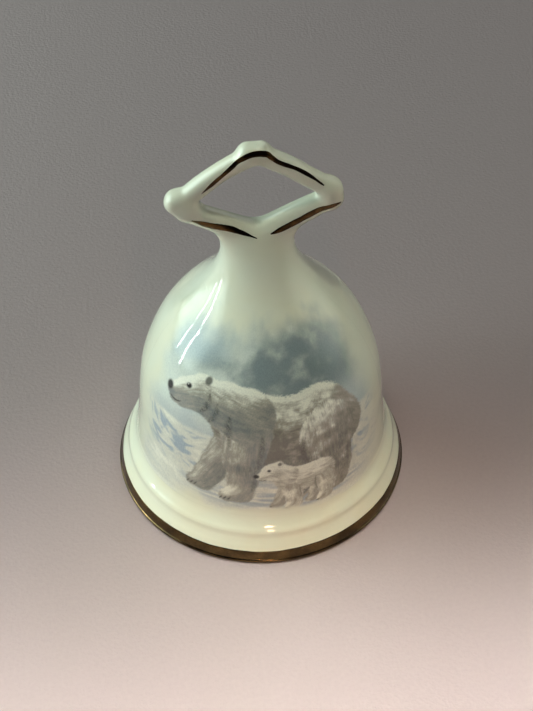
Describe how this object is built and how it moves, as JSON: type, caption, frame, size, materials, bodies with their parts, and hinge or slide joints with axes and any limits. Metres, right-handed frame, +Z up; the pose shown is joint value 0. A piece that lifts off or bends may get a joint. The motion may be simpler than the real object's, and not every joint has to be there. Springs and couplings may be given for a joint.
{
  "type": "table bell",
  "caption": "Bone china hand bell with a loop handle, gilded rim, fired picture and a hung porcelain clapper.",
  "frame": {"origin": "centre of the foot, on the table", "axes": "+Z up along the bell's axis; the handle lies in the XZ plane, and the picture faces -Y"},
  "size_m": [0.082, 0.082, 0.1111],
  "materials": {
    "bone_china": "glossy cream glaze",
    "enamel_print": "picture fired under a glossy glaze",
    "fired_gold": "brushed-on gold, dulled with age",
    "cement": "matt, rough",
    "brass_wire": "drawn wire, dull",
    "white_porcelain": "glossy white glaze"
  },
  "bodies": {
    "bell": {"bell_shell": "bone_china", "loop_handle": "bone_china", "rim_gilt": "fired_gold", "picture_transfer": "enamel_print", "gilt_arch_front": "fired_gold", "gilt_arch_back": "fired_gold", "gilt_left_front": "fired_gold", "gilt_left_back": "fired_gold", "gilt_right_front": "fired_gold", "gilt_right_back": "fired_gold", "crown_plug": "cement", "crown_eye": "brass_wire"},
    "link": {"hanger_link": "brass_wire"},
    "clapper": {"clapper_wire": "brass_wire", "crimp_collar": "brass_wire"},
    "bead": {"clapper_bead": "white_porcelain"}
  },
  "joints": [
    {"name": "link_swing", "type": "hinge", "parent": "bell", "child": "link", "pos_m": [0, 0, 0.0676], "axis": [1, 0, 0], "range_deg": [-23, 23]},
    {"name": "clapper_swing", "type": "hinge", "parent": "link", "child": "clapper", "pos_m": [0, 0, 0.0638], "axis": [0, 1, 0], "range_deg": [-23, 23]},
    {"name": "bead_spin", "type": "hinge", "parent": "clapper", "child": "bead", "pos_m": [0, 0, 0.02], "axis": [0, 0, 1], "continuous": true}
  ]
}
